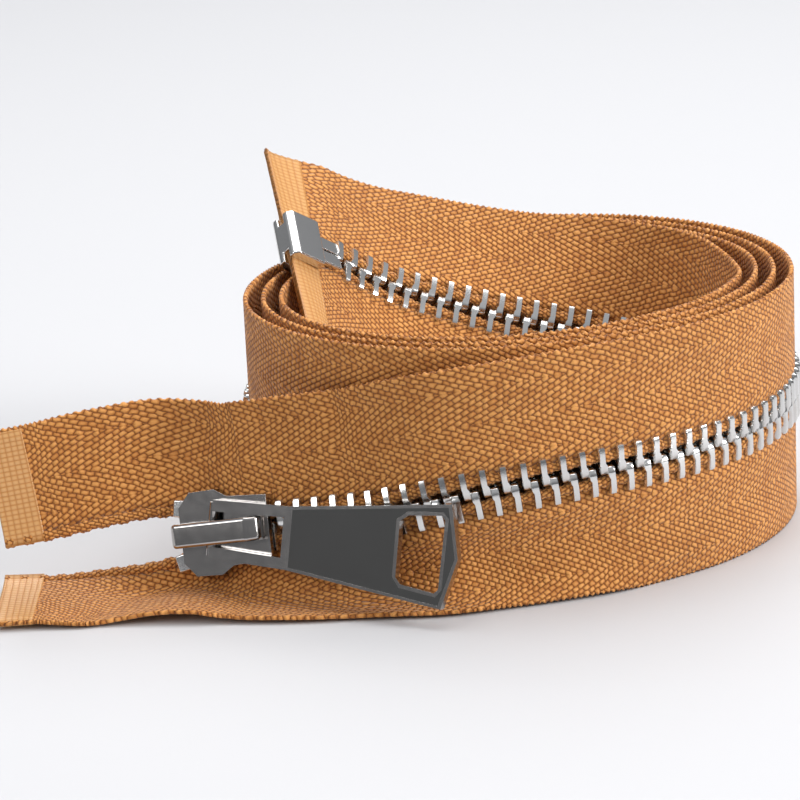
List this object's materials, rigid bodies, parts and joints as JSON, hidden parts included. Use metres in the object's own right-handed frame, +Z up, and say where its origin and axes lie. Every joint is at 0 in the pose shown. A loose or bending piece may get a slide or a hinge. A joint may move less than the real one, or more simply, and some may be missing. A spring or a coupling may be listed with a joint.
{
  "type": "separating zipper",
  "caption": "Closed separating metal zipper, slider and pull tab at the top end, wound into a loose coil standing on its edge.",
  "frame": {"origin": "middle of the footprint, on the table", "axes": "+X from the loose top end to the coil, +Y away from the slider's side, +Z up"},
  "size_m": [0.1038, 0.075, 0.0459],
  "materials": {
    "tape": "woven polyester tape",
    "bead": "corded tape edge",
    "teeth": "bright plated brass",
    "film": "clear stiffening film over the tape",
    "enamel": "dark grey enamel",
    "box": "bright plated casting",
    "pins": "bright plated casting",
    "slider_metal": "dark nickel plate"
  },
  "bodies": {
    "root": {"tape_upper_coil": "tape", "tape_upper_lead": "tape", "tape_lower_coil": "tape", "tape_lower_lead": "tape", "tape_lower_stretch": "tape", "tape_lower_flap": "tape", "teeth_upper_coil": "teeth", "teeth_lower_coil": "teeth", "teeth_lower_stretch": "teeth", "teeth_lower_flap": "teeth", "bead_lower_stretch": "bead", "bead_lower_flap": "bead", "top_stop_lower": "teeth", "film_lower_top": "film", "film_upper_bottom": "film", "film_lower_bottom": "film", "retaining_box": "box", "insertion_pin": "pins", "retainer_pin": "pins"},
    "slider": {"slider_body": "slider_metal", "crown_cap": "slider_metal"},
    "pawl": {"lock_pawl": "slider_metal"},
    "tab": {"pull_tab_frame": "slider_metal", "enamel_front": "enamel", "enamel_back": "enamel"},
    "upper_stretch": {"tape_upper_stretch": "tape", "teeth_upper_stretch": "teeth", "bead_upper_stretch": "bead"},
    "upper_flap": {"tape_upper_flap": "tape", "teeth_upper_flap": "teeth", "bead_upper_flap": "bead", "top_stop_upper": "teeth", "film_upper_top": "film"}
  },
  "joints": [
    {"name": "slider_travel", "type": "slide", "parent": "root", "child": "slider", "axis": [0.934, -0.315, 0.1685], "range_m": [0, 0.0084], "deforming": ["tape_upper_stretch", "teeth_upper_stretch", "bead_upper_stretch", "tape_lower_stretch", "teeth_lower_stretch", "bead_lower_stretch", "tape_upper_flap", "teeth_upper_flap", "bead_upper_flap", "tape_lower_flap", "teeth_lower_flap", "bead_lower_flap"]},
    {"name": "upper_opening", "type": "hinge", "parent": "root", "child": "upper_stretch", "pos_m": [-0.01082, -0.02475, 0.01024], "axis": [0.3512, 0.896, -0.2717], "range_deg": [0, 7.9]},
    {"name": "upper_flap_shift", "type": "hinge", "parent": "upper_stretch", "child": "upper_flap", "pos_m": [-0.02203, -0.02097, 0.00822], "axis": [-0.3512, -0.896, 0.2717], "range_deg": [0, 7.9]},
    {"name": "tab_swing", "type": "hinge", "parent": "slider", "child": "tab", "pos_m": [-0.02401, -0.02335, 0.0094], "axis": [-0.1302, -0.2406, -0.9618], "range_deg": [0, 108]},
    {"name": "lock_lift", "type": "hinge", "parent": "slider", "child": "pawl", "pos_m": [-0.02025, -0.02451, 0.00951], "axis": [-0.0654, 0.3129, 0.9475], "range_deg": [0, 10], "stiffness_Nm_per_rad": 0.02}
  ],
  "couplings": [
    {"joint": "upper_opening", "follows": "slider_travel", "rad_per_m": 15.999},
    {"joint": "upper_flap_shift", "follows": "slider_travel", "rad_per_m": 15.999}
  ]
}
